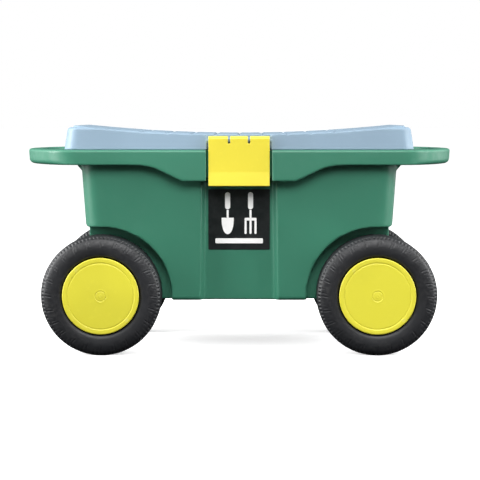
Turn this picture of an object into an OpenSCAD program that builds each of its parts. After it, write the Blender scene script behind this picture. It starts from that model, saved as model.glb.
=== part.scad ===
// Rolling garden seat: a moulded tool tub on four wheels, with a lift-off seat lid held by two side latches.
// Millimetres. X runs along the cart, Y across it (the labelled side is -Y), Z up from the floor.
// The origin is on the floor, under the middle of the cart.

/* [Tub] */
// Length over both end handles
cart_length = 552; // [550:2:570]
// Width over the rim
rim_width = 264; // [262:1:268]
// Height of the rim's top face, where the lid sits
rim_height = 258; // [254:1:260]
// Depth of the rim's skirt away from the latches
skirt_depth = 19; // [16:0.2:20]
// Depth of the skirt's apron beside the latches
apron_depth = 39.5; // [37:0.5:41]
// Underside of the tub above the floor
tub_foot = 68; // [66:1:70]
// Wall of the tub and its rim
wall = 2.8; // [2.4:0.1:3]
// Length of the tub's body just under the rim
body_length = 400; // [396:1:402]
// Width of the tub's body just under the rim
body_width = 238; // [236:1:240]
// Length of the tub's body at its foot
foot_length = 376; // [372:1:378]
// Width of the tub's body at its foot
foot_width = 222; // [220:1:226]

/* [Wheels] */
// Distance between the two axles
wheelbase = 346; // [344:1:348]
// Outside diameter of a wheel
wheel_d = 151; // [146:1:152]
// Width of a wheel
wheel_width = 40; // [40:1:41]
// Middle of a wheel from the middle of the cart
wheel_offset = 114; // [114:0.5:115]
// Diameter of a hub cap
cap_d = 96; // [94:1:97]
// Diameter of an axle rod
axle_d = 10; // [9:0.5:10]

/* [Lid] */
// Length of the lid at its foot
lid_length = 438; // [434:1:440]
// Width of the lid at its foot
lid_width = 254; // [252:1:255]
// Height of the lid above the rim, in the middle of its dip
seat_low = 18.7; // [18.4:0.1:19.2]
// Height of the lid above the rim, at its ends
seat_high = 28; // [27.6:0.1:28.6]
// Radius of the seat's dip along the cart
dip_radius = 2000; // [1900:10:2100]
// Number of drain grooves across the seat
groove_count = 9; // [5:2:11]
// Distance between drain grooves
groove_pitch = 30; // [26:1:32]

/* [Latches] */
// Width of a latch
latch_width = 76; // [75:0.5:77]
// Reach of a latch below its hinge
latch_drop = 56.5; // [54:0.5:57]

/* [Hidden] */
$fn = 64;
HULL_FN = 32;

// Tub
z_axle = wheel_d / 2;
skirt_z = rim_height - skirt_depth;
apron_z = rim_height - apron_depth;
rim_half_l = cart_length / 2;
rim_half_w = rim_width / 2;
rim_corner_r = 50;
rim_bow_r = 203;             // the rim's ends are bowed in plan
rim_step = 4;                // degrees between the points along the rim's ends
body_corner_r = 20;
foot_chamfer = 3;
deck_t = 3;
apron_flat = 69;             // half length of the apron's deepest stretch
apron_slope_end = 114;       // where the slope meets the skirt's edge
apron_bend = 24;             // length of the bend into the skirt's edge
wall_slope = (body_width - foot_width) / 2 / (rim_height - tub_foot);

// Latch bay, cut into the rim and the lid
bay_half = 41;
bay_back = 122;              // outer face of the keeper block
keeper_z = rim_height - 34;
keeper_bead = 1.2;

// Recessed panel below the latch bay
panel_top_z = 220;
panel_depth = 10;
panel_half_top = 42;
panel_half_foot = 45;
panel_flank = 5;

// Wheel wells
axle_x = wheelbase / 2;
well_r = 86;
well_x = axle_x - 2;         // middle of a well's arch
well_z = z_axle - 1;
well_side = 90;              // |y| of the upright side of a wheel well
end_wall_x = 190;            // |x| of the end walls between the wheels
tunnel_r = 9;
tunnel_z = 77;
carrier_r = 11;
carrier_t = 3;
carrier_y = [-88.5, -30, 30, 88.5];

// Handles
gusset_reach = 5;            // flare of the end walls under the rim
gusset_drop = 6;
slot_x = 240.5;
slot_half_w = 16.5;
slot_half_l = 55;

// Axles and their fasteners
axle_r = axle_d / 2;
axle_half = 128;
running_gap = 0.08;
end_gap = 0.3;               // play of a wheel along its axle, at each side
washer_r = 10;
inner_washer_t = 1.7;
outer_washer_t = 1.1;

// Wheel sections: [radius, height along the axle outward from the wheel's middle]
tyre_r = wheel_d / 2;
half_w = wheel_width / 2;
cap_r = cap_d / 2;
web_out = 12;
web_in = -14;
hub_r = 12;
hub_in = well_side + inner_washer_t + end_gap - wheel_offset;
hub_out = 8;
shell = 2.7;

// Lid
lid_gap = 0.3;
lid_z = rim_height + lid_gap;
lid_top_z = rim_height + seat_high;
lid_corner_r = 18;
lid_draft_l = 4;
lid_draft_w = 2.5;
lid_bevel = 2.6;             // height of the slanted edge round the lid's top
lid_wall = 3;
dip_z = rim_height + seat_low + dip_radius;   // axis of the seat's dip
dip_step = 0.4;              // degrees between the points along the dip
pad_rise = 0.7;
pad_half_l = 208;
pad_half_w = 112;
pad_corner_r = 12;
groove_w = 3.6;
groove_depth = 0.8;          // below the lid's own surface
locator_half_l = 193.5;
locator_half_w = 113.5;
locator_t = 2.5;
locator_drop = 8;
lid_bay_half = 40;
lid_bay_back = 113.5;
bay_ledge = 118.5;

// Latches
bar_y = 124;
bar_z = rim_height + 11.5;
bar_r = 2.5;
bar_gap = 0.15;
knuckle_r = 5.5;
plate_in = 4.2;
plate_out = 7;
slot_at = 12.4;
latch_slot_w = 2.9;
latch_slot_reach = 2.2;      // how far a slot reaches below the hinge
latch_slot_end_r = 1.7;      // round foot of a slot
bracket_t = 2;
hook_half = 20;

// Label
label_w = 77.5;
label_h = 76.5;
label_t = 0.5;
label_z = 170;

SIDES = ["left", "right"];
FACES = ["front", "rear"];

GREEN = [0.19, 0.46, 0.36];
BLUE = [0.60, 0.70, 0.78];
YELLOW = [0.93, 0.86, 0.20];
BLACK = [0.10, 0.10, 0.11];
STEEL = [0.68, 0.69, 0.71];

// Point at t on the curve from a to c that is drawn towards b.
function bend(a, b, c, t) = (1 - t) * (1 - t) * a + 2 * t * (1 - t) * b + t * t * c;

// Rectangle with round corners, given by its half sizes.
module round_plan(half_l, half_w, r) {
    square([2 * (half_l - r), 2 * half_w], center = true);
    square([2 * half_l, 2 * (half_w - r)], center = true);
    for (sx = [-1, 1], sy = [-1, 1])
        translate([sx * (half_l - r), sy * (half_w - r)]) circle(r);
}

// Quarter of the rim's outline from its end to its long side, inset from the outer edge.
function rim_quarter(inset) =
    let (
        bow_r = rim_bow_r - inset,
        corner_r = rim_corner_r - inset,
        bow_x = rim_half_l - rim_bow_r,
        corner_y = rim_half_w - rim_corner_r,
        apart = rim_bow_r - rim_corner_r,
        meet = asin(corner_y / apart),
        corner_x = bow_x + apart * cos(meet)
    )
    concat(
        [for (a = [0 : rim_step : meet - 1]) [bow_x + bow_r * cos(a), bow_r * sin(a)]],
        [for (t = [0 : 0.1 : 1]) let (a = meet + t * (90 - meet))
            [corner_x + corner_r * cos(a), corner_y + corner_r * sin(a)]]
    );

// Plan of the rim, with bowed ends and round corners.
module rim_plan(inset) {
    quarter = rim_quarter(inset);
    last = len(quarter) - 1;
    half = concat(quarter, [for (i = [last : -1 : 0]) [-quarter[i].x, quarter[i].y]]);
    polygon(concat(half, [for (i = [len(half) - 2 : -1 : 1]) [half[i].x, -half[i].y]]));
}

// Prism between two heights.
module prism(z0, z1) {
    translate([0, 0, z0]) linear_extrude(z1 - z0) children();
}

// Box between two corners.
module block(low, high) {
    translate(low) cube(high - low);
}

// Rod along Y between two places.
module rod_y(x, z, r, y0, y1) {
    translate([x, y1, z]) rotate([90, 0, 0]) cylinder(r = r, h = y1 - y0);
}

// Rod along X, centred on the cart.
module rod_x(y, z, r, half) {
    translate([-half, y, z]) rotate([0, 90, 0]) cylinder(r = r, h = 2 * half);
}

// Everything that children() draws on the -Y side, on both sides.
module both_faces() {
    children();
    mirror([0, 1, 0]) children();
}

module both_ends() {
    children();
    mirror([1, 0, 0]) children();
}

// Drafted box with round upright corners and a chamfered foot; inset moves every wall inward.
module drafted_body(inset, z0, z1) {
    slab = 0.4;
    foot_l = foot_length / 2 - inset;
    foot_w = foot_width / 2 - inset;
    r = body_corner_r - inset;
    hull() {
        prism(z1 - slab, z1) round_plan(body_length / 2 - inset, body_width / 2 - inset, r, $fn = HULL_FN);
        prism(z0 + foot_chamfer, z0 + foot_chamfer + slab) round_plan(foot_l, foot_w, r, $fn = HULL_FN);
        prism(z0, z0 + slab)
            round_plan(foot_l - foot_chamfer, foot_w - foot_chamfer, r - foot_chamfer, $fn = HULL_FN);
    }
}

// The recess of the front panel, or with grow the same recess with its walls' thickness added.
module panel_recess(grow) {
    slab = 0.4;
    hull() {
        prism(panel_top_z + grow - slab, panel_top_z + grow)
            panel_plan(panel_half_top + grow, wall_y(panel_top_z) - panel_depth - grow);
        prism(0, slab) panel_plan(panel_half_foot + grow, wall_y(0) - panel_depth - grow);
    }
}

// Plan of the recess at one height: its floor is at y = -floor_y, and its flanks open outward.
module panel_plan(half, floor_y) {
    reach = 30;
    flare = panel_flank * reach / panel_depth;
    open_half = half + flare;
    polygon([
        [-half, -floor_y], [half, -floor_y],
        [open_half, -floor_y - reach], [-open_half, -floor_y - reach]
    ]);
}

// |y| of the tub's outer wall at height z.
function wall_y(z) = body_width / 2 - wall_slope * (rim_height - z);

// Space for the wheels, or with grow the same space with its walls' thickness added.
module wheel_wells(grow) {
    reach = well_r + grow;
    side = -well_side + grow;
    both_ends() both_faces() {
        rod_y(-well_x, well_z, reach, -body_width, side);
        block([-body_length, -body_width, 0], [-well_x, side, well_z + reach]);
        block([-body_length, -body_width, 0], [-well_x + reach, side, well_z]);
    }
}

// Space outside the upright end walls between the wheels, with a slanted top that cuts the corner of the
// walls above; with grow, the same space with the walls' thickness added.
module end_steps(grow) {
    x = end_wall_x - grow;
    top = well_z + well_r + grow;
    both_ends() translate([0, body_width, 0]) rotate([90, 0, 0]) linear_extrude(2 * body_width) polygon([
        [-body_length, 0], [-x, 0], [-x, top], [-x - 2.4, top + 1], [-x - 4.6, top + 4],
        [-body_length, top + 4]
    ]);
}

// Channel under the floor for each axle, or with grow the same channel with its walls' thickness added.
module axle_tunnels(grow) {
    for (x = [-axle_x, axle_x]) {
        rod_y(x, tunnel_z, tunnel_r + grow, -well_side - 1, well_side + 1);
        block([x - tunnel_r - grow, -well_side - 1, 0], [x + tunnel_r + grow, well_side + 1, tunnel_z]);
    }
}

// Bored plates across the tunnels that hold the axles.
module axle_carriers() {
    for (x = [-axle_x, axle_x], y = carrier_y) {
        rod_y(x, z_axle, carrier_r, y - carrier_t / 2, y + carrier_t / 2);
        block([x - tunnel_r - 1, y - carrier_t / 2, z_axle],
            [x + tunnel_r + 1, y + carrier_t / 2, tunnel_z + 5]);
    }
}

// Apron of the skirt beside one latch bay, as drawn on the cart's side.
module apron_outline() {
    bend_from = [-apron_slope_end - apron_bend, skirt_z];
    bend_over = [-apron_slope_end, skirt_z];
    bend_to = [-apron_slope_end + apron_bend / 2, skirt_z - 5.2];
    edge = [for (t = [0 : 0.2 : 1]) bend(bend_from, bend_over, bend_to, t)];
    polygon(concat(
        [[-apron_slope_end - apron_bend, skirt_z + 6]],
        edge,
        [[-apron_flat - 2, apron_z + 0.4], [-apron_flat, apron_z]],
        [[-bay_half, apron_z], [-bay_half, skirt_z + 6]]
    ));
}

module rim() {
    difference() {
        union() {
            prism(skirt_z, rim_height) rim_plan(0);
            both_faces() both_ends()
                translate([0, -rim_half_w + wall, 0]) rotate([90, 0, 0]) linear_extrude(wall) apron_outline();
        }
        difference() {
            prism(skirt_z - 1, rim_height - deck_t) rim_plan(wall);
            // the inner skirt around each hand slot stays
            both_ends() translate([-slot_x, 0, 0]) prism(skirt_z - 2, rim_height)
                round_plan(slot_half_w + wall, slot_half_l + wall, slot_half_w + wall - 0.1);
        }
        both_ends() translate([-slot_x, 0, 0]) prism(skirt_z - 3, rim_height + 1)
            round_plan(slot_half_w, slot_half_l, slot_half_w - 0.1);
        both_faces() block([-bay_half, -rim_half_w - 1, apron_z - 1], [bay_half, -bay_back, rim_height + 1]);
    }
}

// Flare of the end walls where they meet the rim.
module gussets() {
    end_x = body_length / 2;
    half = body_width / 2 - body_corner_r;
    both_ends() translate([0, half, 0]) rotate([90, 0, 0]) linear_extrude(2 * half) polygon([
        [-end_x + wall, skirt_z - gusset_drop], [-end_x, skirt_z - gusset_drop],
        [-end_x - gusset_reach, skirt_z], [-end_x - gusset_reach, skirt_z + wall],
        [-end_x + wall, skirt_z + wall]
    ]);
}

// Walls of the latch bay and the block that a latch hooks under.
module latch_keeper() {
    both_faces() {
        block([-bay_half - wall, -bay_back, keeper_z],
            [bay_half + wall, -body_width / 2 + 1, rim_height - deck_t + 1]);
        both_ends() block([-bay_half - wall, -rim_half_w + 0.5, apron_z],
            [-bay_half, -bay_back + 0.5, rim_height - 1]);
        block([-hook_half - 2, -bay_back - keeper_bead, keeper_z],
            [hook_half + 2, -bay_back, keeper_z + 2.5]);
    }
}

module tub() color(GREEN) {
    difference() {
        union() {
            difference() {
                drafted_body(0, tub_foot, rim_height);
                both_faces() panel_recess(0);
                wheel_wells(0);
                end_steps(0);
            }
            rim();
            gussets();
            latch_keeper();
        }
        difference() {
            drafted_body(wall, tub_foot + deck_t, rim_height + 1);
            both_faces() panel_recess(wall);
            wheel_wells(wall);
            end_steps(wall);
            axle_tunnels(wall);
        }
        axle_tunnels(0);
    }
    difference() {
        axle_carriers();
        for (x = [-axle_x, axle_x]) rod_y(x, z_axle, axle_r + running_gap, -rim_half_w, rim_half_w);
    }
}

// Points of the dip at a drop below the lid's surface, from end to end.
function dip_points(drop) =
    let (r = dip_radius + drop)
    [for (a = [-17 : 17]) [r * sin(a * dip_step), dip_z - r * cos(a * dip_step)]];

// Everything above the dip, right across the lid.
module above_dip(drop) {
    rotate([90, 0, 0]) linear_extrude(2 * lid_width, center = true)
        polygon(concat(dip_points(drop), [[rim_half_l, 2 * lid_top_z], [-rim_half_l, 2 * lid_top_z]]));
}

// Layer that follows the dip between two drops.
module dip_layer(drop_top, drop_foot) {
    top = dip_points(drop_top);
    count = len(top) - 1;
    rotate([90, 0, 0]) linear_extrude(2 * lid_width, center = true)
        polygon(concat(dip_points(drop_foot), [for (i = [0 : count]) top[count - i]]));
}

module lid_shell() {
    slab = 0.4;
    low_l = lid_length / 2;
    low_w = lid_width / 2;
    difference() {
        hull() {
            prism(lid_z, lid_z + slab) round_plan(low_l, low_w, lid_corner_r, $fn = HULL_FN);
            prism(lid_top_z - lid_bevel, lid_top_z - lid_bevel + slab)
                round_plan(low_l - lid_draft_l, low_w - lid_draft_w, lid_corner_r - 2, $fn = HULL_FN);
            prism(lid_top_z - slab, lid_top_z)
                round_plan(low_l - lid_draft_l - 3, low_w - lid_draft_w - 2, lid_corner_r - 4, $fn = HULL_FN);
        }
        above_dip(0);
        difference() {
            hull() {
                prism(lid_z - 1, lid_z)
                    round_plan(low_l - lid_wall, low_w - lid_wall, lid_corner_r - lid_wall, $fn = HULL_FN);
                prism(lid_top_z - lid_wall - slab, lid_top_z - lid_wall)
                    round_plan(low_l - lid_draft_l - 6, low_w - lid_draft_w - 5, 11, $fn = HULL_FN);
            }
            above_dip(lid_wall);
            latch_bays(lid_wall);
        }
        latch_bays(0);
        grooves();
    }
    // flat ledge that closes the gap behind each latch
    both_faces() block([-lid_bay_half, -bay_ledge, lid_z], [lid_bay_half, -lid_bay_back + 1, lid_z + 2.5]);
}

// Space for the latches in the lid, or with grow the same space with its walls' thickness added.
module latch_bays(grow) {
    both_faces() block(
        [-lid_bay_half - grow, -lid_width, 0],
        [lid_bay_half + grow, -lid_bay_back + grow, 2 * lid_top_z]
    );
}

// Drain grooves right across the seat.
module grooves() {
    first = -(groove_count - 1) / 2 * groove_pitch;
    difference() {
        for (i = [0 : groove_count - 1])
            block([first + i * groove_pitch - groove_w / 2, -lid_width, rim_height],
                [first + i * groove_pitch + groove_w / 2, lid_width, 2 * lid_top_z]);
        dip_layer(groove_depth, 2 * lid_top_z - rim_height);
    }
}

// Raised seat area, parted by the drain grooves.
module seat_pad() {
    difference() {
        intersection() {
            prism(rim_height, 2 * lid_top_z) round_plan(pad_half_l, pad_half_w, pad_corner_r);
            dip_layer(-pad_rise, lid_wall - 0.5);
        }
        grooves();
    }
}

// Ribs and the ring that finds the tub's mouth, under the seat.
module lid_underside() {
    rib_t = 2.5;
    rib_foot = lid_z + 3;
    rib_x = [-150, -90, -30, 30, 90, 150];
    rib_y = [-55, 55];
    ring_corner_r = 16;
    difference() {
        union() {
            for (x = rib_x)
                block([x - rib_t / 2, -locator_half_w, rib_foot], [x + rib_t / 2, locator_half_w, lid_top_z]);
            for (y = rib_y)
                block([-locator_half_l, y - rib_t / 2, rib_foot], [locator_half_l, y + rib_t / 2, lid_top_z]);
            prism(rim_height - locator_drop, lid_top_z - 3) difference() {
                round_plan(locator_half_l, locator_half_w, ring_corner_r);
                round_plan(locator_half_l - locator_t, locator_half_w - locator_t, ring_corner_r - locator_t);
            }
        }
        above_dip(lid_wall - 0.5);
        latch_bays(0);
    }
}

// Bar that a latch hooks on, with its two brackets.
module latch_bar() {
    rod_x(-bar_y, bar_z, bar_r, lid_bay_half + 1);
    for (x = [-slot_at, slot_at])
        block([x - bracket_t / 2, -bar_y, bar_z - 4], [x + bracket_t / 2, -lid_bay_back + 1, bar_z + 2.4]);
}

module lid() color(BLUE) {
    lid_shell();
    seat_pad();
    lid_underside();
    both_faces() latch_bar();
}

// A latch's cross-section, around its hinge: x is outward, y is up.
module latch_section() {
    crease = -39;
    flare = 1.8;
    difference() {
        union() {
            circle(knuckle_r);
            polygon([
                [plate_in, knuckle_r - 2.5], [plate_out - 2, knuckle_r - 0.4], [plate_out, knuckle_r - 3],
                [plate_out, crease], [plate_out + flare, -latch_drop],
                [plate_in + flare, -latch_drop], [plate_in, crease]
            ]);
            square([plate_in + 1, knuckle_r]);
        }
        circle(bar_r + bar_gap);
        translate([-2 * knuckle_r, -1.9]) square([2 * knuckle_r, 3.8]);
    }
}

// A latch on the -Y side: a plate with three hooks on the lid's bar and one hook under the tub's rim.
module latch() color(YELLOW) {
    half = latch_width / 2;
    side_t = 2.2;
    translate([0, -bar_y, bar_z]) difference() {
        union() {
            rotate([90, 0, -90]) translate([0, 0, -half]) linear_extrude(latch_width) latch_section();
            both_ends() block([-half, -plate_in - 1, -50], [-half + side_t, 1, -9]);
            block([-hook_half, -plate_in - 1.6, -49.5], [hook_half, 0.5, -47.4]);
        }
        for (x = [-slot_at, slot_at]) {
            low_x = x - latch_slot_w / 2;
            high_x = x + latch_slot_w / 2;
            high = knuckle_r + 5;
            block([low_x, -plate_out - 5, -latch_slot_reach], [high_x, high, high]);
            block([low_x, -knuckle_r + 1, -knuckle_r - 3], [high_x, high, high]);
            rod_y(x, -latch_slot_reach, latch_slot_end_r, -plate_out - 5, -1);
        }
    }
}

module latch_front() latch();
module latch_rear() mirror([0, 1, 0]) latch();

module label() color(BLACK) {
    tilt = atan(wall_slope);
    translate([0, -wall_y(label_z) + panel_depth, label_z]) rotate([tilt, 0, 0])
        block([-label_w / 2, -label_t, -label_h / 2], [label_w / 2, 0, label_h / 2]);
}

// What children() draws along +Z from a wheel's middle, placed at one wheel; +Z there points outward.
module at_wheel(sx, sy) {
    translate([sx * axle_x, sy * wheel_offset, z_axle]) rotate([-90 * sy, 0, 0]) children();
}

module ring(r_in, r_out, h0, h1) {
    translate([0, 0, h0]) difference() {
        cylinder(r = r_out, h = h1 - h0);
        translate([0, 0, -1]) cylinder(r = r_in, h = h1 - h0 + 2);
    }
}

module axle(sx) color(STEEL) rod_y(sx * axle_x, z_axle, axle_r, -axle_half, axle_half);

// Washer between the tub's side and a wheel's hub.
module inner_washer(sx, sy) color(STEEL) at_wheel(sx, sy)
    ring(axle_r + running_gap, washer_r, hub_in - end_gap - inner_washer_t, hub_in - end_gap);

// Washer between a wheel's hub and its push-on nut.
module outer_washer(sx, sy) color(STEEL) at_wheel(sx, sy)
    ring(axle_r + running_gap, washer_r, hub_out + end_gap, hub_out + end_gap + outer_washer_t);

// Push-on nut: a collar on the axle's end, with its brim against the outer washer.
module push_nut(sx, sy) color(STEEL) at_wheel(sx, sy) {
    foot = hub_out + end_gap + outer_washer_t;
    ring(axle_r, 8.5, foot, foot + 0.9);
    ring(axle_r, 6.6, foot + 0.9, foot + 3);
}

// Blow-moulded wheel: one hollow shell of tyre, side walls, web and hub.
module wheel(sx, sy) color(BLACK) at_wheel(sx, sy) {
    seat_r = cap_r + 1.5;
    difference() {
        rotate_extrude() polygon([
            [axle_r + running_gap, hub_in], [hub_r, hub_in], [hub_r, web_in], [cap_r, web_in],
            [cap_r + 6, -half_w + 1], [tyre_r - 17, -half_w], [tyre_r - 8, -half_w + 0.4],
            [tyre_r - 3.6, -half_w + 2.4], [tyre_r - 0.9, -half_w + 6], [tyre_r, -half_w + 10],
            [tyre_r, half_w - 10], [tyre_r - 0.9, half_w - 6],
            [tyre_r - 3.6, half_w - 2.4], [tyre_r - 8, half_w - 0.4], [tyre_r - 17, half_w],
            [seat_r, half_w - 1.4], [seat_r, web_out], [20, web_out], [16, hub_out],
            [axle_r + running_gap, hub_out]
        ]);
        rotate_extrude() polygon([
            [hub_r + shell, web_in + shell], [cap_r - 1, web_in + shell], [cap_r + 6, -half_w + 1 + shell],
            [tyre_r - 9, -half_w + shell], [tyre_r - shell - 2, -half_w + 7], [tyre_r - shell - 0.6, 0],
            [tyre_r - shell - 2, half_w - 7], [tyre_r - 9, half_w - shell],
            [seat_r + shell, half_w - 1.4 - shell], [seat_r + shell, web_out - shell],
            [22, web_out - shell], [hub_r + shell, hub_out - shell]
        ]);
        for (h = [-6, 6]) ring(tyre_r - 1.2, tyre_r + 1, h - 1, h + 1);
        translate([30, 0, web_in - 1]) cylinder(r = 2.5, h = 5);
    }
}

// Snap-in cap: a disc with a raised rim, a fine groove, a centre boss and a skirt behind.
module hub_cap(sx, sy) color(YELLOW) at_wheel(sx, sy) {
    face = half_w + 0.3;
    back = half_w - 2.2;
    rotate_extrude() polygon([
        [0, back], [0, face + 0.4], [1.8, face + 0.4], [2.2, face],
        [5.6, face], [6.2, face + 0.8], [7.8, face + 0.8], [8.4, face],
        [cap_r - 6.6, face], [cap_r - 6, face - 0.7], [cap_r - 5.4, face],
        [cap_r - 4.6, face + 1], [cap_r - 1.4, face + 1.2], [cap_r, face - 0.2], [cap_r, back]
    ]);
    ring(cap_r - 3.5, cap_r - 1.5, web_out, back + 0.2);
}

tub();
lid();
latch_front();
latch_rear();
label();
axle(-1);  // axle_left
axle(1);  // axle_right
for (ix = [0, 1], iy = [0, 1]) {
    corner = str(SIDES[ix], "_", FACES[iy]);
    sx = 2 * ix - 1;
    sy = 2 * iy - 1;
    inner_washer(sx, sy);
    outer_washer(sx, sy);
    push_nut(sx, sy);
    wheel(sx, sy);
    hub_cap(sx, sy);
}
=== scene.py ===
"""Looks of a rolling garden seat: a green tool tub on four black wheels, with a blue-grey seat lid and
yellow latches. Metres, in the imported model's own frame: X along the cart, -Y the labelled side, Z up."""

import math

import bmesh
import bpy
import numpy as np
from mathutils import Matrix, Vector


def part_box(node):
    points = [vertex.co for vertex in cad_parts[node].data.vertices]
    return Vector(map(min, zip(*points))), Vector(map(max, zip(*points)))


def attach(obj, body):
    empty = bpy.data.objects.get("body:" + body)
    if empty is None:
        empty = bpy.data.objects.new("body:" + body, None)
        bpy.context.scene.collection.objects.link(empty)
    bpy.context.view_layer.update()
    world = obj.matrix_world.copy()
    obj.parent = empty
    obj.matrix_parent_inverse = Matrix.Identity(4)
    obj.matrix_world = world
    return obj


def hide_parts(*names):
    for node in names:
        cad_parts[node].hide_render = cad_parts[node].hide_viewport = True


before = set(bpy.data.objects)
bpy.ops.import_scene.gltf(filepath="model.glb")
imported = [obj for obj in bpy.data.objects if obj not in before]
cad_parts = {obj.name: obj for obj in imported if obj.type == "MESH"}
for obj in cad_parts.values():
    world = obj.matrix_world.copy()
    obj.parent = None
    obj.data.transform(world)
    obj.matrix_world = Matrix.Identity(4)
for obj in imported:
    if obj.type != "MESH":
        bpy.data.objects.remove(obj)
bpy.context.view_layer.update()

MM = 0.001
SIDES = ("left", "right")
FACES = ("front", "rear")
CORNERS = [f"{side}_{face}" for side in SIDES for face in FACES]

tub_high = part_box("tub")[1]


# ---------------------------------------------------------------- colour and material helpers

def linear(red, green, blue):
    """Display colour in 0-255 steps to the linear colour a shader takes."""
    out = []
    for channel in (red, green, blue):
        c = channel / 255
        out.append(c / 12.92 if c <= 0.04045 else ((c + 0.055) / 1.055) ** 2.4)
    return (*out, 1.0)


class Nodes:
    """Small helper that adds nodes to one material and links them."""

    def __init__(self, name):
        self.material = bpy.data.materials.new(name)
        self.material.use_nodes = True
        self.tree = self.material.node_tree
        self.shader = self.tree.nodes["Principled BSDF"]
        self.coords = self.add("ShaderNodeTexCoord").outputs["Object"]

    def add(self, kind, **settings):
        node = self.tree.nodes.new(kind)
        for key, value in settings.items():
            setattr(node, key, value)
        return node

    def link(self, source, target):
        self.tree.links.new(source, target)

    def stretched(self, scale):
        mapping = self.add("ShaderNodeMapping")
        mapping.inputs["Scale"].default_value = scale
        self.link(self.coords, mapping.inputs["Vector"])
        return mapping.outputs["Vector"]

    def noise(self, scale, detail=3.0, rough=0.55, vector=None):
        node = self.add("ShaderNodeTexNoise")
        node.inputs["Scale"].default_value = scale
        node.inputs["Detail"].default_value = detail
        node.inputs["Roughness"].default_value = rough
        self.link(vector or self.coords, node.inputs["Vector"])
        return node.outputs["Fac"]

    def ramp(self, value, low, high, out_low=0.0, out_high=1.0):
        node = self.add("ShaderNodeMapRange")
        node.interpolation_type = "SMOOTHSTEP"
        node.inputs["From Min"].default_value = low
        node.inputs["From Max"].default_value = high
        node.inputs["To Min"].default_value = out_low
        node.inputs["To Max"].default_value = out_high
        self.link(value, node.inputs["Value"])
        return node.outputs["Result"]

    def maths(self, operation, a, b):
        node = self.add("ShaderNodeMath", operation=operation)
        for socket, value in zip(node.inputs, (a, b)):
            if isinstance(value, (int, float)):
                socket.default_value = value
            else:
                self.link(value, socket)
        return node.outputs["Value"]

    def mix(self, factor, a, b):
        node = self.add("ShaderNodeMix", data_type="RGBA")
        for name, value in (("Factor", factor), ("A", a), ("B", b)):
            socket = next(s for s in node.inputs if s.name == name and s.type in ("RGBA", "VALUE") and (
                s.type == "VALUE" if name == "Factor" else s.type == "RGBA"))
            if isinstance(value, (int, float, tuple)):
                socket.default_value = value
            else:
                self.link(value, socket)
        return next(s for s in node.outputs if s.type == "RGBA")

    def bump(self, height, strength, distance, normal=None):
        node = self.add("ShaderNodeBump")
        node.inputs["Strength"].default_value = strength
        node.inputs["Distance"].default_value = distance
        self.link(height, node.inputs["Height"])
        if normal is not None:
            self.link(normal, node.inputs["Normal"])
        return node.outputs["Normal"]

    def pointiness(self, low, high):
        return self.ramp(self.add("ShaderNodeNewGeometry").outputs["Pointiness"], low, high)


def shade(colour, factor):
    return tuple(min(1.0, c * factor) for c in colour[:3]) + (1.0,)


def moulded_plastic(name, colour, rough, grain=0.10, worn=0.25, scuffs=0.30, ior=1.46):
    """Moulded plastic: fine spark grain, slow shade changes, rubbed edges and a few hairline scuffs."""
    n = Nodes(name)
    clouds = n.noise(7.0, 2.0)
    mottle = n.noise(160.0, 4.0, 0.6)
    specks = n.noise(900.0, 2.0, 0.5)
    tint = n.mix(n.ramp(clouds, 0.35, 0.65), shade(colour, 0.93), shade(colour, 1.05))
    tint = n.mix(n.ramp(mottle, 0.52, 0.80, 0.0, 0.22), tint, shade(colour, 1.18))
    tint = n.mix(n.ramp(specks, 0.66, 0.78, 0.0, 0.20), tint, shade(colour, 0.72))
    edges = n.pointiness(0.52, 0.60)
    rub = n.maths("MULTIPLY", edges, n.ramp(n.noise(60.0, 3.0), 0.40, 0.62, 0.15, worn))
    tint = n.mix(rub, tint, tuple(0.55 * c + 0.42 for c in colour[:3]) + (1.0,))
    hair = n.noise(34.0, 5.0, 0.7, n.stretched((1.0, 9.0, 26.0)))
    scratch = n.ramp(hair, 0.655, 0.70, 0.0, scuffs)
    tint = n.mix(n.maths("MULTIPLY", scratch, 0.35), tint, shade(colour, 1.35))
    n.link(tint, n.shader.inputs["Base Color"])
    uneven = n.ramp(mottle, 0.3, 0.7, rough - 0.05, rough + 0.07)
    n.link(n.maths("ADD", uneven, n.maths("MULTIPLY", scratch, 0.18)), n.shader.inputs["Roughness"])
    n.shader.inputs["IOR"].default_value = ior
    sink = n.bump(n.noise(11.0, 1.5), 0.25, 0.0012)
    grainy = n.bump(n.noise(1900.0, 3.0, 0.6), grain, 0.0002, sink)
    n.link(n.bump(scratch, 0.12, 0.0001, grainy), n.shader.inputs["Normal"])
    return n.material


def tyre_plastic():
    """Black blow-moulded plastic: waxy, with grey rubbed high spots and patches of dust."""
    base = linear(28, 29, 32)
    n = Nodes("black_blow_moulding")
    clouds = n.noise(14.0, 3.0)
    mottle = n.noise(240.0, 4.0, 0.65)
    tint = n.mix(n.ramp(clouds, 0.35, 0.65), shade(base, 0.80), shade(base, 1.15))
    dust = n.maths("MULTIPLY", n.ramp(mottle, 0.45, 0.72), n.ramp(n.noise(30.0, 2.0), 0.45, 0.7, 0.0, 0.25))
    tint = n.mix(dust, tint, linear(74, 72, 69))
    rub = n.maths("MULTIPLY", n.pointiness(0.51, 0.57), n.ramp(mottle, 0.30, 0.60, 0.08, 0.30))
    tint = n.mix(rub, tint, linear(84, 85, 90))
    n.link(tint, n.shader.inputs["Base Color"])
    n.link(n.ramp(mottle, 0.3, 0.7, 0.40, 0.56), n.shader.inputs["Roughness"])
    n.shader.inputs["IOR"].default_value = 1.48
    wave = n.bump(n.noise(26.0, 2.0), 0.30, 0.0008)
    n.link(n.bump(n.noise(1500.0, 3.0, 0.6), 0.14, 0.0002, wave), n.shader.inputs["Normal"])
    return n.material


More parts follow.
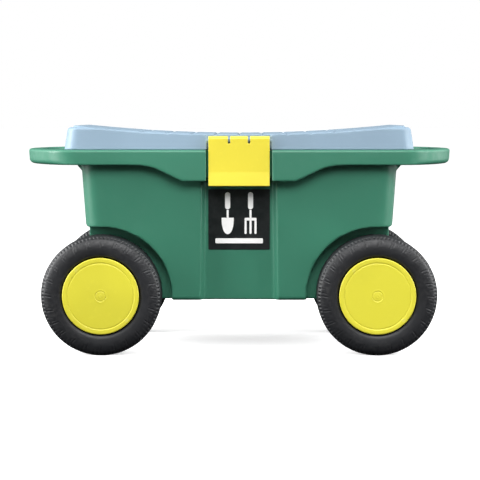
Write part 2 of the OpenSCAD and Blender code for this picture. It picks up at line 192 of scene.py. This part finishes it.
def zinc_steel():
    """Zinc-plated steel: drawn lines along the part, dull spangle and a little white bloom."""
    n = Nodes("zinc_steel")
    base = linear(190, 192, 196)
    spangle = n.noise(420.0, 3.0)
    lines = n.noise(900.0, 2.0, 0.6, n.stretched((1.0, 0.02, 1.0)))
    bloom = n.ramp(n.noise(55.0, 4.0, 0.7), 0.56, 0.75, 0.0, 0.55)
    tint = n.mix(n.ramp(spangle, 0.3, 0.7), shade(base, 0.72), shade(base, 1.02))
    tint = n.mix(bloom, tint, linear(206, 205, 200))
    n.link(tint, n.shader.inputs["Base Color"])
    n.shader.inputs["Metallic"].default_value = 0.95
    n.link(n.maths("ADD", n.ramp(spangle, 0.3, 0.7, 0.26, 0.40), n.maths("MULTIPLY", bloom, 0.3)),
           n.shader.inputs["Roughness"])
    n.link(n.bump(lines, 0.10, 0.0001), n.shader.inputs["Normal"])
    return n.material


def label_film():
    """Black printed film with a soft gloss, faint print mottle and handling marks."""
    n = Nodes("label_film")
    base = linear(20, 25, 25)
    tint = n.mix(n.ramp(n.noise(300.0, 3.0), 0.35, 0.65), shade(base, 0.85), shade(base, 1.3))
    n.link(tint, n.shader.inputs["Base Color"])
    n.link(n.ramp(n.noise(70.0, 4.0, 0.7), 0.35, 0.7, 0.30, 0.48), n.shader.inputs["Roughness"])
    n.link(n.bump(n.noise(1200.0, 2.0), 0.05, 0.0001), n.shader.inputs["Normal"])
    return n.material


def print_ink():
    """White print on the label, slightly uneven as screen print is."""
    n = Nodes("white_print")
    base = linear(252, 252, 250)
    tint = n.mix(n.ramp(n.noise(1100.0, 3.0), 0.55, 0.75, 0.0, 0.35), base, shade(base, 0.82))
    n.link(tint, n.shader.inputs["Base Color"])
    n.link(n.ramp(n.noise(500.0, 2.0), 0.3, 0.7, 0.42, 0.55), n.shader.inputs["Roughness"])
    n.link(n.bump(n.noise(900.0, 2.0), 0.06, 0.0001), n.shader.inputs["Normal"])
    return n.material


GREEN = moulded_plastic("green_moulding", linear(55, 121, 97), rough=0.43, ior=1.50)
BLUE = moulded_plastic("blue_moulding", linear(130, 153, 171), rough=0.45, worn=0.20)
YELLOW = moulded_plastic(
    "yellow_moulding", linear(229, 213, 66), rough=0.33, grain=0.05, worn=0.15, scuffs=0.2)
CAP_YELLOW = moulded_plastic(
    "yellow_cap", linear(214, 206, 61), rough=0.36, grain=0.05, worn=0.12, scuffs=0.2)
BLACK = tyre_plastic()
STEEL = zinc_steel()
FILM = label_film()
INK = print_ink()


# ---------------------------------------------------------------- mesh helpers

def new_object(name, mesh, material, body, slot, *nodes):
    """Puts a finished mesh in the scene, riding on a body and standing for CAD nodes."""
    obj = bpy.data.objects.new(name, mesh)
    bpy.context.scene.collection.objects.link(obj)
    mesh.materials.clear()
    mesh.materials.append(material)
    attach(obj, body)
    if nodes:
        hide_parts(*nodes)
    return obj


def applied(mesh, *modifiers):
    """The mesh after modifiers, each given as (type, settings)."""
    obj = bpy.data.objects.new("work", mesh)
    bpy.context.scene.collection.objects.link(obj)
    for kind, settings in modifiers:
        modifier = obj.modifiers.new(kind.lower(), kind)
        for key, value in settings.items():
            setattr(modifier, key, value)
    graph = bpy.context.evaluated_depsgraph_get()
    out = bpy.data.meshes.new_from_object(obj.evaluated_get(graph))
    bpy.data.objects.remove(obj)
    return out


def welded(mesh, distance=0.00002):
    out = mesh.copy()
    bm = bmesh.new()
    bm.from_mesh(out)
    bmesh.ops.remove_doubles(bm, verts=bm.verts, dist=distance)
    bm.to_mesh(out)
    bm.free()
    return out


def points_of(mesh):
    co = np.empty(len(mesh.vertices) * 3, np.float32)
    mesh.vertices.foreach_get("co", co)
    return co.reshape(-1, 3).astype(float)


def set_points(mesh, co):
    mesh.vertices.foreach_set("co", co.astype(np.float32).ravel())
    mesh.update()


def softened(node, voxel, passes, keep_faces, reshape=None, settle=None):
    """A moulding with every edge and inside corner rounded, made from its CAD node's shape. reshape moves its
    points before the smoothing, settle after it."""
    mesh = applied(welded(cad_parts[node].data), ("REMESH", {"mode": "VOXEL", "voxel_size": voxel}))
    if reshape is not None:
        set_points(mesh, reshape(points_of(mesh)))
    mesh = applied(mesh, ("SMOOTH", {"factor": 0.5, "iterations": passes}))
    if settle is not None:
        set_points(mesh, settle(points_of(mesh)))
    ratio = min(1.0, keep_faces / (2 * len(mesh.polygons)))
    mesh = applied(mesh, ("DECIMATE", {"ratio": ratio}))
    mesh.shade_smooth()
    return applied(mesh, ("WEIGHTED_NORMAL", {"keep_sharp": False, "weight": 60}))


# ---------------------------------------------------------------- tub

RIM_BOW = 203 * MM
RIM_CORNER = 50 * MM
RIM_EDGE = 3.2 * MM
GRIP_EDGE = 6.5 * MM
SKIRT_DEPTH = 19 * MM
SKIRT_FOOT = tub_high.z - SKIRT_DEPTH


def inside_rim(co):
    """How far each point lies inside the rim's outline in plan, and the unit direction that leads further in.
    The outline has straight long sides, round corners and bowed ends."""
    half_l, half_w = tub_high.x, tub_high.y
    x, y = np.abs(co[:, 0]), np.abs(co[:, 1])
    bow_x = half_l - RIM_BOW
    corner_y = half_w - RIM_CORNER
    corner_x = bow_x + math.sqrt((RIM_BOW - RIM_CORNER) ** 2 - corner_y ** 2)
    from_bow = np.maximum(np.hypot(x - bow_x, y), 1e-9)
    from_corner = np.maximum(np.hypot(x - corner_x, y - corner_y), 1e-9)
    in_corner = (x > corner_x) & ((y - corner_y) * (corner_x - bow_x) > (x - corner_x) * corner_y)
    in_bow = ~in_corner & (RIM_BOW - from_bow < half_w - y)
    depth = np.select([in_corner, in_bow], [RIM_CORNER - from_corner, RIM_BOW - from_bow], half_w - y)
    dx = np.select([in_corner, in_bow], [(corner_x - x) / from_corner, (bow_x - x) / from_bow], 0.0)
    dy = np.select([in_corner, in_bow], [(corner_y - y) / from_corner, -y / from_bow], -1.0)
    return depth, np.sign(co[:, 0]) * dx, np.sign(co[:, 1]) * dy


def skirt_inset(co):
    """How far the skirt's outer face stands back from the rim's outline: it leans and curls inward round the
    grips."""
    ends = np.clip((np.abs(co[:, 0]) - (tub_high.x - 62 * MM)) / (30 * MM), 0, 1)
    low = np.clip((SKIRT_FOOT + GRIP_EDGE - co[:, 2]) / GRIP_EDGE, 0, 1)
    curl = GRIP_EDGE * (1 - np.sqrt(1 - low ** 2)) * 0.75
    return ends * (curl + 1.2 * MM * np.clip((tub_high.z - co[:, 2]) / SKIRT_DEPTH, 0, 1))


def shape_rim(co):
    """Rounds the rim's top edge, and curls the foot of the skirt inward round the grips."""
    depth, dx, dy = inside_rim(co)
    u = RIM_EDGE - depth
    v = co[:, 2] - (tub_high.z - RIM_EDGE)
    reach = np.hypot(u, v)
    over = (u > 0) & (v > 0) & (reach > RIM_EDGE)
    pull = np.where(over, 1 - RIM_EDGE / np.maximum(reach, 1e-9), 0)
    co[:, 0] += dx * u * pull
    co[:, 1] += dy * u * pull
    co[:, 2] -= v * pull
    inset = np.where((depth < 6 * MM) & (co[:, 2] > SKIRT_FOOT - 1 * MM), skirt_inset(co), 0)
    co[:, 0] += dx * inset
    co[:, 1] += dy * inset
    return co


def settle_rim(co):
    """Lays the skirt's outer face and the rim's round edge exactly on their outline."""
    depth, dx, dy = inside_rim(co)
    v = np.clip(co[:, 2] - (tub_high.z - RIM_EDGE), 0, 0.85 * RIM_EDGE)
    off = depth - (RIM_EDGE - np.sqrt(RIM_EDGE ** 2 - v ** 2) + skirt_inset(co))
    low_enough = co[:, 2] < tub_high.z - 0.2 * RIM_EDGE
    off = np.where((np.abs(off) < 0.5 * MM) & low_enough & (co[:, 2] > SKIRT_FOOT + 1.5 * MM), off, 0)
    co[:, 0] -= dx * off
    co[:, 1] -= dy * off
    return co


tub_mesh = softened("tub", 1.3 * MM, 5, 190000, shape_rim, settle_rim)
new_object("tub_moulding", tub_mesh, GREEN, "cart", "green_moulding", "tub")
new_object("lid_moulding", softened("lid", 0.9 * MM, 2, 170000), BLUE, "seat_lid", "blue_moulding", "lid")
for face in FACES:
    new_object(f"latch_{face}_moulding", softened(f"latch_{face}", 0.55 * MM, 3, 50000), YELLOW,
               f"{face}_latch", "yellow_moulding", f"latch_{face}")


# ---------------------------------------------------------------- round parts

def soft_corners(points, radius, steps=3):
    """The closed outline with each corner replaced by a short curve."""
    out = []
    count = len(points)
    for i in range(count):
        a, b, c = (Vector(points[(i + k - 1) % count]) for k in range(3))
        before, after = a - b, c - b
        cut_a = b + before.normalized() * min(radius, before.length * 0.45)
        cut_c = b + after.normalized() * min(radius, after.length * 0.45)
        for k in range(steps + 1):
            t = k / steps
            out.append(tuple((1 - t) ** 2 * cut_a + 2 * t * (1 - t) * b + t * t * cut_c))
    return out


def lathe(profile, steps, place, offset=None):
    """Closed outline (radius, height) turned round its axis; offset(angles, outline) moves points along the
    outline's normal. place maps the turned part's own axes, with +Z outward, into the frame."""
    outline = np.array(profile)
    count = len(outline)
    tangent = np.roll(outline, -1, 0) - np.roll(outline, 1, 0)
    tangent /= np.maximum(np.linalg.norm(tangent, axis=1, keepdims=True), 1e-12)
    normal = np.stack([tangent[:, 1], -tangent[:, 0]], 1)
    angles = np.arange(steps) * 2 * math.pi / steps
    radii = np.repeat(outline[None, :, 0], steps, 0)
    heights = np.repeat(outline[None, :, 1], steps, 0)
    if offset is not None:
        push = offset(angles, outline)
        radii = radii + push * normal[None, :, 0]
        heights = heights + push * normal[None, :, 1]
    x = radii * np.cos(angles)[:, None]
    y = radii * np.sin(angles)[:, None]
    co = np.stack([x, y, heights], 2).reshape(-1, 3)
    world = np.array(place)
    co = co @ world[:3, :3].T + world[:3, 3]
    faces = []
    for i in range(steps):
        j = (i + 1) % steps
        for k in range(count):
            m = (k + 1) % count
            faces.append((i * count + k, j * count + k, j * count + m, i * count + m))
    mesh = bpy.data.meshes.new("lathe")
    mesh.from_pydata(co.tolist(), [], faces)
    bm = bmesh.new()
    bm.from_mesh(mesh)
    bmesh.ops.remove_doubles(bm, verts=bm.verts, dist=1e-7)
    bmesh.ops.recalc_face_normals(bm, faces=bm.faces)
    bm.to_mesh(mesh)
    bm.free()
    mesh.shade_smooth()
    return mesh


TYRE_R = 75.5 * MM
HALF_W = 20 * MM
SHOULDER_R = 59 * MM          # foot of the rounded shoulder on the outer side wall
TREAD_H = 10 * MM             # half width of the flat tread towards the outside
BACK_SHOULDER_R = 66 * MM
BACK_TREAD_H = 15 * MM
LUGS = 24
NOTCHES = 4 * LUGS


def hub_place(corner):
    """Axes of one wheel: origin at its middle, +Z outward from the cart."""
    low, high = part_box(f"wheel_{corner}")
    outward = -1 if corner.endswith("front") else 1
    centre = (low + high) / 2
    middle_y = (low.y + HALF_W) if outward < 0 else (high.y - HALF_W)
    turn = Matrix.Rotation(math.radians(-90 * outward), 4, "X")
    return Matrix.Translation((centre.x, middle_y, centre.z)) @ turn


def shoulder(foot_r, tread_h, count):
    """Points along a wheel's shoulder, a quarter of an ellipse from the tread to the side wall."""
    out = []
    for i in range(count + 1):
        a = math.radians(90 * i / count)
        out.append((foot_r + (TYRE_R - foot_r) * math.cos(a), tread_h + (HALF_W - tread_h) * math.sin(a)))
    return out


def wheel_profile():
    """Outline of the blow-moulded wheel: bore, hub, web, side wall, shoulder, tread, and back to the hub."""
    bore = 5.08
    hub = [
        (bore, -21.7), (11.4, -21.7), (12, -21.1), (12, -14.6), (12.6, -14), (46, -14), (48, -15),
        (51, -18.2), (55, -19.6)
    ]
    cap_seat = [(55, 19.7), (51.6, 19.2), (50, 18.2), (49.4, 16.6), (49.4, 12), (20, 12), (16, 8), (bore, 8)]
    hub = [(r * MM, h * MM) for r, h in hub]
    cap_seat = [(r * MM, h * MM) for r, h in cap_seat]
    back_shoulder = [(r, -h) for r, h in reversed(shoulder(BACK_SHOULDER_R, BACK_TREAD_H, 16))]
    tread = [(TYRE_R, h) for h in np.linspace(-BACK_TREAD_H, TREAD_H, 33)[1:-1]]
    return hub + back_shoulder + tread + shoulder(SHOULDER_R, TREAD_H, 26) + cap_seat


def tread_pattern(angles, outline):
    """Depth of the moulded pattern: pairs of fine cuts round each shoulder, a row of small square notches at
    each edge of the tread, and ring grooves with zigzag cuts between them on the tread."""
    turn = 360 / LUGS
    degrees = np.degrees(angles)[:, None]
    r = outline[None, :, 0] / MM
    h = np.abs(outline[None, :, 1]) / MM
    side = np.sign(outline[None, :, 1])

    def band(value, start, full):
        return np.clip((value - start) / (full - start), 0, 1)

    def groove(phase, period, width):
        from_groove = np.abs((phase + period / 2) % period - period / 2)
        return np.clip(1.5 - 3 * from_groove / width, 0, 1)

    sway = 0.9 * np.sin(np.radians(degrees * 5)) + 0.6 * np.sin(np.radians(degrees * 3 + 40))
    lean = degrees + side * (r - 66) * 0.12 + sway
    on_side = h > TREAD_H / MM
    long_cut = groove(lean, turn, 1.5) * band(r, 61.5, 62.5) * (1 - band(r, 70.0, 70.6))
    short_cut = groove(lean + 3.1, turn, 1.3) * band(r, 63.5, 64.5) * (1 - band(r, 69.0, 69.6))
    fine_cut = groove(lean + 7.2, turn, 1.1) * band(r, 65.5, 66.5) * (1 - band(r, 70.0, 70.6))
    pad = band(r, 61.0, 62.2) * (1 - band(r, 70.4, 71.0)) * (1 - groove(lean + 11.2, turn, 7.0))
    depth = on_side * (0.48 * long_cut + 0.36 * short_cut + 0.26 * fine_cut - 0.13 * pad)
    in_row = band(r, 71.7, 72.1) * (1 - band(r, 73.8, 74.2)) * on_side
    depth = depth + 0.9 * in_row * groove(degrees, 360 / NOTCHES, 2.3)
    on_tread = 1 - band(h, 9.4, 10.2)
    ring = np.exp(-((h - 5.4) / 0.8) ** 2)
    zigzag = groove(degrees + 1.1 * np.abs(h - 2.4), 360 / (NOTCHES // 2), 2.2) * (h < 4.6)
    block = groove(degrees + 0.5 * h, 360 / (NOTCHES // 2), 2.0) * (h > 6.4)
    depth = depth + on_tread * (1.1 * ring + 0.8 * zigzag + 0.8 * block)
    return -depth * MM


def cap_profile():
    """Outline of a hub cap: centre dot, boss ring, dished disc, fine groove and raised rim, over a skirt."""
    face = HALF_W / MM + 0.3
    front = [
        (0.0, face + 0.2), (2.0, face + 0.18), (2.8, face), (5.8, face), (6.1, face - 0.3), (6.6, face - 0.3),
        (7.0, face + 0.05), (7.8, face + 0.15), (8.8, face + 0.05),
        (9.4, face), (12, face), (26, face), (38, face),
        (40.6, face), (41.0, face - 0.25), (41.9, face - 0.25), (42.3, face + 0.1), (43.0, face + 0.22),
        (46.8, face + 0.3), (47.6, face + 0.05), (48, face - 0.5)
    ]
    back = [(48, 18.2), (47.4, 17.8), (46.5, 17.6), (46.5, 12.1), (44.5, 12.1), (44.5, 17.6), (0.0, 17.8)]
    return [(r * MM, h * MM) for r, h in front + back]


def refine(points, step):
    """The outline with long stretches split so that shading follows it closely."""
    out = []
    for i, a in enumerate(points):
        b = points[(i + 1) % len(points)]
        pieces = max(1, int(math.dist(a, b) / step))
        for k in range(pieces):
            t = k / pieces
            out.append((a[0] + (b[0] - a[0]) * t, a[1] + (b[1] - a[1]) * t))
    return out


def wheel_body(corner):
    side, face = corner.split("_")
    return f"{side}_{face}_wheel"


for corner in CORNERS:
    place = hub_place(corner)
    new_object(f"wheel_{corner}_moulding", lathe(wheel_profile(), 720, place, tread_pattern), BLACK,
               wheel_body(corner), "black_blow_moulding", f"wheel_{corner}")
    cap = refine(soft_corners(cap_profile(), 0.35 * MM, 2), 3 * MM)
    new_object(f"hub_cap_{corner}_moulding", lathe(cap, 160, place), CAP_YELLOW,
               wheel_body(corner), "yellow_moulding", f"hub_cap_{corner}")
    for kind in ("inner_washer", "outer_washer", "push_nut"):
        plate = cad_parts[f"{kind}_{corner}"]
        plate.data.materials.clear()
        plate.data.materials.append(STEEL)

for side in SIDES:
    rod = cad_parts[f"axle_{side}"]
    rod.data.materials.clear()
    rod.data.materials.append(STEEL)


# ---------------------------------------------------------------- label

def slab(outlines, thickness, place):
    """Flat shapes with straight sides, from outlines in the label's own plane, raised by thickness."""
    bm = bmesh.new()
    for outline in outlines:
        ring = [bm.verts.new((x, z, 0)) for x, z in outline]
        face = bm.faces.new(ring)
        grown = bmesh.ops.extrude_face_region(bm, geom=[face])
        moved = [g for g in grown["geom"] if isinstance(g, bmesh.types.BMVert)]
        bmesh.ops.translate(bm, verts=moved, vec=(0, 0, thickness))
    bmesh.ops.recalc_face_normals(bm, faces=bm.faces)
    bm.transform(place)
    mesh = bpy.data.meshes.new("slab")
    bm.to_mesh(mesh)
    bm.free()
    return mesh


def rounded_box(half_x, half_z, radius, centre=(0.0, 0.0), steps=6):
    out = []
    for cx, cz, start in ((1, 1, 0), (-1, 1, 90), (-1, -1, 180), (1, -1, 270)):
        for i in range(steps + 1):
            a = math.radians(start + 90 * i / steps)
            out.append((centre[0] + cx * (half_x - radius) + radius * math.cos(a),
                        centre[1] + cz * (half_z - radius) + radius * math.sin(a)))
    return out


label_low, label_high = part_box("label")
LABEL_T = 0.5 * MM
PRINT_T = 0.06 * MM
label_tilt = math.atan2(label_high.y - label_low.y - LABEL_T, label_high.z - label_low.z)
label_centre = (label_low + label_high) / 2
label_half_x = (label_high.x - label_low.x) / 2
label_half_z = (label_high.z - label_low.z) / 2 / math.cos(label_tilt) - 0.02 * MM
LABEL_PLACE = (
    Matrix.Translation(label_centre)
    @ Matrix.Rotation(label_tilt, 4, "X")
    @ Matrix.Rotation(math.radians(90), 4, "X")
    @ Matrix.Translation((0, 0, -LABEL_T / 2))
)


def trowel(x):
    """Outlines of a hand trowel: blade, neck and handle."""
    right = [(x + 6.4 * math.sqrt(max(0.0, 1 - (t / 24) ** 2.4)), -1.5 - 17.5 * t / 24) for t in range(25)]
    left = [(2 * x - px, pz) for px, pz in reversed(right[:-1])]
    neck = rounded_box(1.1, 4.6, 0.6, (x, 2.2))
    grip = rounded_box(2.7, 9.0, 2.5, (x, 16.4))
    return [right + left, neck, grip]


def hand_fork(x):
    """Outlines of a three-pronged hand fork."""
    prongs = [rounded_box(1.15, 7.4, 1.1, (x + dx, -11.2)) for dx in (-5.2, 0.0, 5.2)]
    bar = rounded_box(6.35, 1.5, 1.2, (x, -3.0))
    neck = rounded_box(1.1, 4.6, 0.6, (x, 2.2))
    grip = rounded_box(2.7, 9.0, 2.5, (x, 16.4))
    return prongs + [bar, neck, grip]


def in_metres(outlines, size=1.0, rise=0.0):
    return [[(px * size * MM, (pz * size + rise) * MM) for px, pz in outline] for outline in outlines]


film = slab([rounded_box(label_half_x, label_half_z, 1.2 * MM)], LABEL_T, LABEL_PLACE)
new_object("label_film", film, FILM, "cart", "label_film", "label")
tools = in_metres(trowel(-12.0) + hand_fork(12.0), size=1.2, rise=4.0)
line = in_metres([rounded_box(30.0, 3.2, 1.2, (0.0, -27.0))])
print_place = LABEL_PLACE @ Matrix.Translation((0, 0, LABEL_T))
new_object("label_print", slab(tools + line, PRINT_T, print_place), INK, "cart", "label_film")


# ---------------------------------------------------------------- stage, light and camera

def stage_material():
    """Matt white paper that glows a little, like a light table, so that the floor stays white."""
    n = Nodes("studio_white")
    paper = linear(246, 246, 246)
    tint = n.mix(n.ramp(n.noise(3.0, 2.0), 0.3, 0.7), paper, shade(paper, 1.01))
    n.link(tint, n.shader.inputs["Base Color"])
    n.link(n.ramp(n.noise(40.0, 2.0), 0.3, 0.7, 0.75, 0.85), n.shader.inputs["Roughness"])
    n.link(n.bump(n.noise(600.0, 2.0), 0.03, 0.0002), n.shader.inputs["Normal"])
    n.shader.inputs["Emission Color"].default_value = (1.0, 1.0, 1.0, 1.0)
    n.shader.inputs["Emission Strength"].default_value = 0.55
    return n.material


def floor():
    """Wide white floor under the cart, which neither lights it from below nor mirrors in it."""
    half = 40.0
    mesh = bpy.data.meshes.new("floor")
    corners = [(-half, -half, 0), (half, -half, 0), (half, half, 0), (-half, half, 0)]
    mesh.from_pydata(corners, [], [(0, 1, 2, 3)])
    mesh.materials.append(stage_material())
    obj = bpy.data.objects.new("floor", mesh)
    bpy.context.scene.collection.objects.link(obj)
    obj.visible_diffuse = False
    obj.visible_glossy = False


def area_light(name, place, target, size, power):
    lamp = bpy.data.lights.new(name, "AREA")
    lamp.shape = "RECTANGLE"
    lamp.size, lamp.size_y = size
    lamp.energy = power
    obj = bpy.data.objects.new(name, lamp)
    bpy.context.scene.collection.objects.link(obj)
    obj.location = place
    obj.rotation_euler = (Vector(target) - Vector(place)).to_track_quat("-Z", "Y").to_euler()


def top_light(strength, spread):
    """Even soft light from straight above."""
    lamp = bpy.data.lights.new("top_light", "SUN")
    lamp.energy = strength
    lamp.angle = math.radians(spread)
    bpy.context.scene.collection.objects.link(bpy.data.objects.new("top_light", lamp))


AIR_BELOW = 0.03
AIR_ABOVE = 0.25


def studio_world():
    """Dim air that is a little lighter above than below, behind a white background."""
    world = bpy.data.worlds.new("studio")
    world.use_nodes = True
    tree = world.node_tree
    air = tree.nodes["Background"]
    white = tree.nodes.new("ShaderNodeBackground")
    white.inputs["Color"].default_value = (1.0, 1.0, 1.0, 1.0)
    coords = tree.nodes.new("ShaderNodeTexCoord")
    split = tree.nodes.new("ShaderNodeSeparateXYZ")
    fade = tree.nodes.new("ShaderNodeMapRange")
    rays = tree.nodes.new("ShaderNodeLightPath")
    mix = tree.nodes.new("ShaderNodeMixShader")
    air.inputs["Color"].default_value = (1.0, 1.0, 1.0, 1.0)
    span = {"From Min": -0.3, "From Max": 0.5, "To Min": AIR_BELOW, "To Max": AIR_ABOVE}
    for socket, value in span.items():
        fade.inputs[socket].default_value = value
    tree.links.new(coords.outputs["Generated"], split.inputs["Vector"])
    tree.links.new(split.outputs["Z"], fade.inputs["Value"])
    tree.links.new(fade.outputs["Result"], air.inputs["Strength"])
    tree.links.new(rays.outputs["Is Camera Ray"], mix.inputs["Fac"])
    tree.links.new(air.outputs["Background"], mix.inputs[1])
    tree.links.new(white.outputs["Background"], mix.inputs[2])
    tree.links.new(mix.outputs["Shader"], tree.nodes["World Output"].inputs["Surface"])
    bpy.context.scene.world = world


MIDDLE = (0.0, 0.0, 0.16)
floor()
studio_world()
top_light(1.0, 70)
for name, place, size, power in (
    ("front_box", (0.1, -2.5, 2.1), (2.4, 1.4), 90),
    ("left_box", (-2.0, -0.40, 0.9), (1.0, 1.6), 84),
    ("right_box", (2.0, -0.45, 0.9), (1.0, 1.6), 52),
    ("left_back_box", (-1.7, 1.0, 0.7), (1.0, 1.6), 9),
    ("right_back_box", (1.7, 1.0, 0.7), (1.0, 1.6), 12),
):
    area_light(name, place, MIDDLE, size, power)
bpy.context.scene.view_settings.view_transform = "Standard"

lens = bpy.data.cameras.new("camera")
lens.lens = 124.9
lens.sensor_width = 36.0
camera = bpy.data.objects.new("camera", lens)
bpy.context.scene.collection.objects.link(camera)
camera.location = (0.0076, -2.2, 0.299)
aim = Vector((0.0008, 0.0, 0.1362))
camera.rotation_euler = (aim - camera.location).to_track_quat("-Z", "Y").to_euler()
bpy.context.scene.camera = camera
